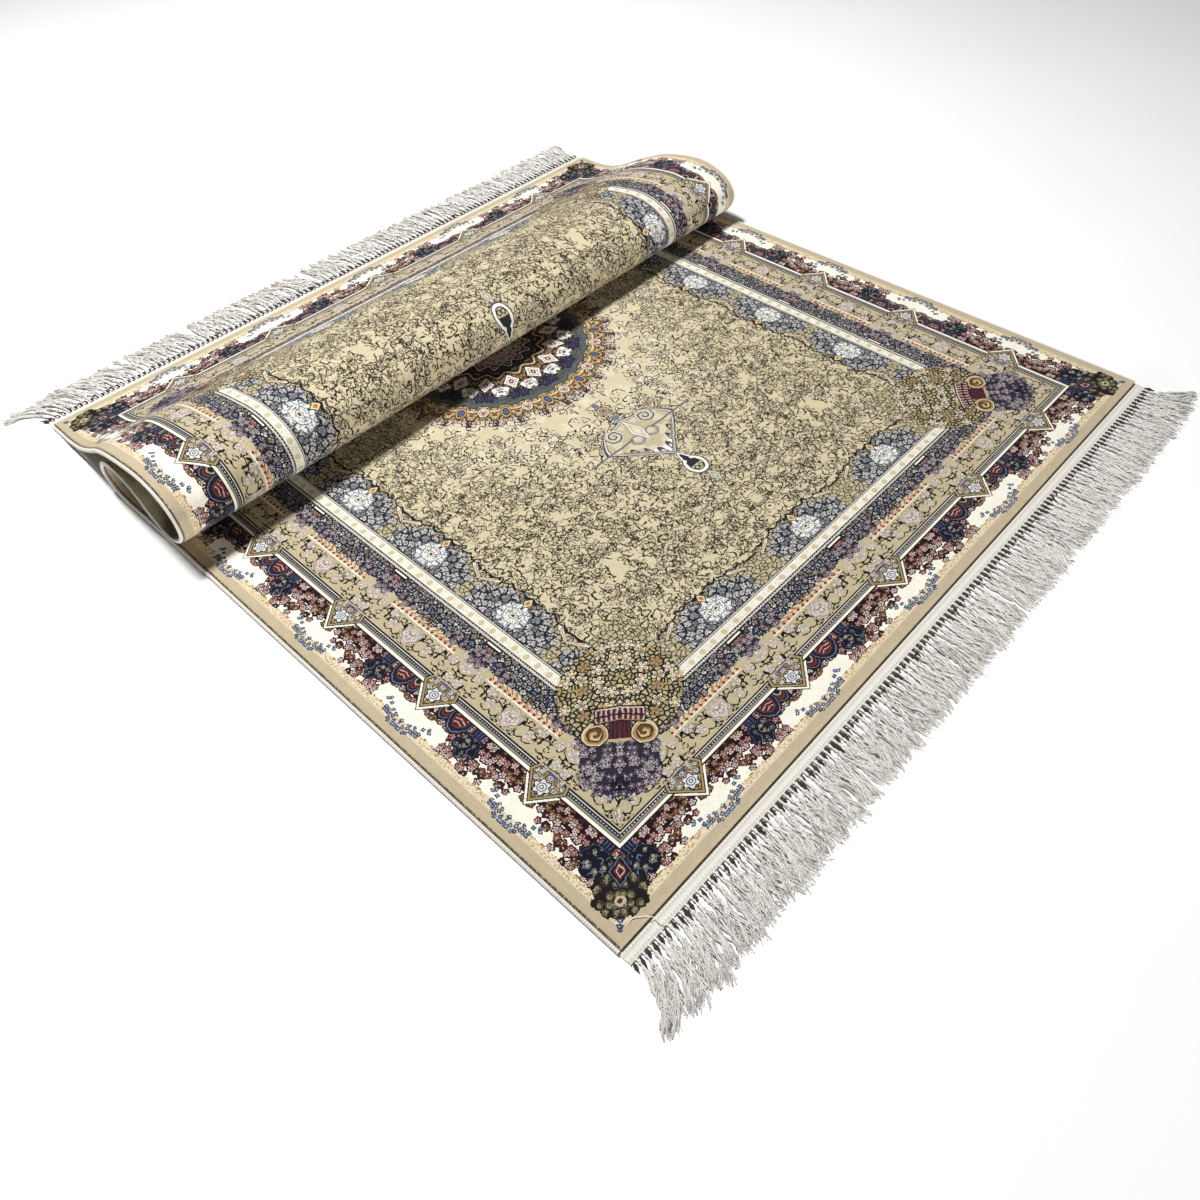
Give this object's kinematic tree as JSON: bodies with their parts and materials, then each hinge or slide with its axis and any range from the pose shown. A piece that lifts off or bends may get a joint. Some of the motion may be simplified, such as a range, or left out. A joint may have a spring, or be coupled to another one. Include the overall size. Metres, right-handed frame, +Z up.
{
  "type": "folded carpet",
  "caption": "Oblong medallion carpet with fringed ends, folded twice into a flat Z on the floor, two open loops one behind the other.",
  "frame": {"origin": "middle of the footprint, on the floor", "axes": "+Z up; +Y from the flat near end to the folded far end; +X to the right across the cloth, seen from the near end"},
  "size_m": [1.0582, 1.1742, 0.1065],
  "materials": {
    "pile": "short dense pile, beige ground with ivory, navy and burgundy florals",
    "binding_yarn": "overcast off-white yarn",
    "fringe_yarn": "silky off-white yarn, knotted"
  },
  "bodies": {
    "root": {"carpet": "pile", "binding_left": "binding_yarn", "binding_right": "binding_yarn", "fringe_near": "fringe_yarn", "fringe_far": "fringe_yarn"}
  },
  "joints": []
}
